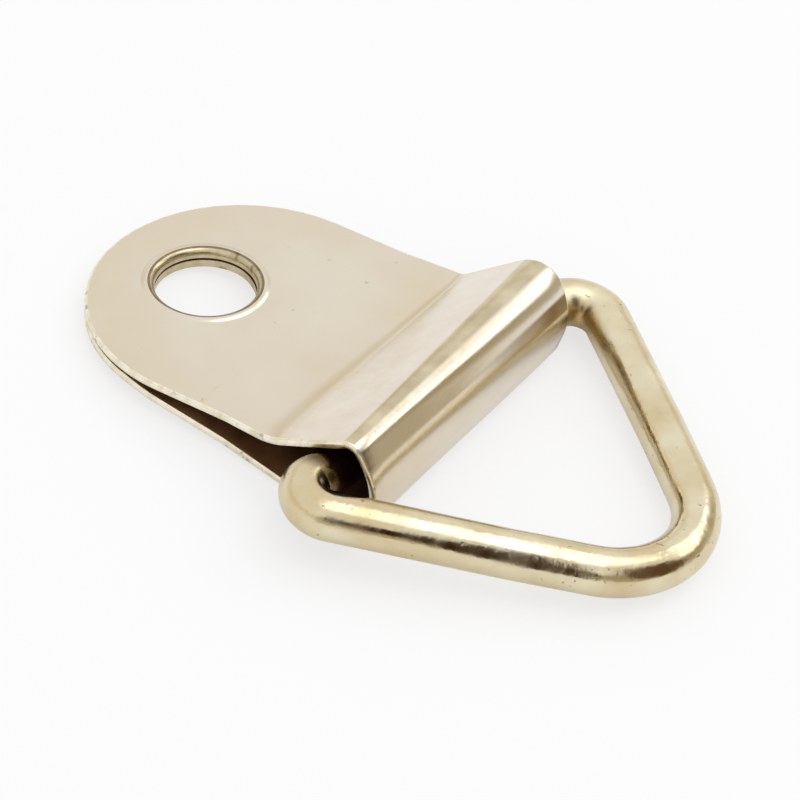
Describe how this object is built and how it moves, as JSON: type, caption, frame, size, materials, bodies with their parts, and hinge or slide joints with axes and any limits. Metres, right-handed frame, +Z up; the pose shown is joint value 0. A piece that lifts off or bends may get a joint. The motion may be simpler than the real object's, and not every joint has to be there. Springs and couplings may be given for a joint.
{
  "type": "triangle picture hanger",
  "caption": "Small picture hanger: a plated sheet-steel strap folded over the bar of a triangular wire ring that swings in the fold.",
  "frame": {"origin": "on the surface that the part lies on, under the middle of its bounding box", "axes": "+Z up from the surface that it lies on its back on, +Y towards the strap's round screw end, the ring's apex towards -Y"},
  "size_m": [0.0186, 0.0256, 0.0041],
  "materials": {
    "plated_sheet": "pale brass plating, satin",
    "plated_wire": "brass plating, polished and slightly pitted"
  },
  "bodies": {
    "strap": {"strap_plate": "plated_sheet"},
    "ring": {"triangle_ring": "plated_wire"}
  },
  "joints": [
    {"name": "ring_swing", "type": "hinge", "parent": "strap", "child": "ring", "pos_m": [0.00002, -0.00112, 0.00161], "axis": [0.9955, -0.0801, -0.0506], "range_deg": [-160, 120]}
  ]
}
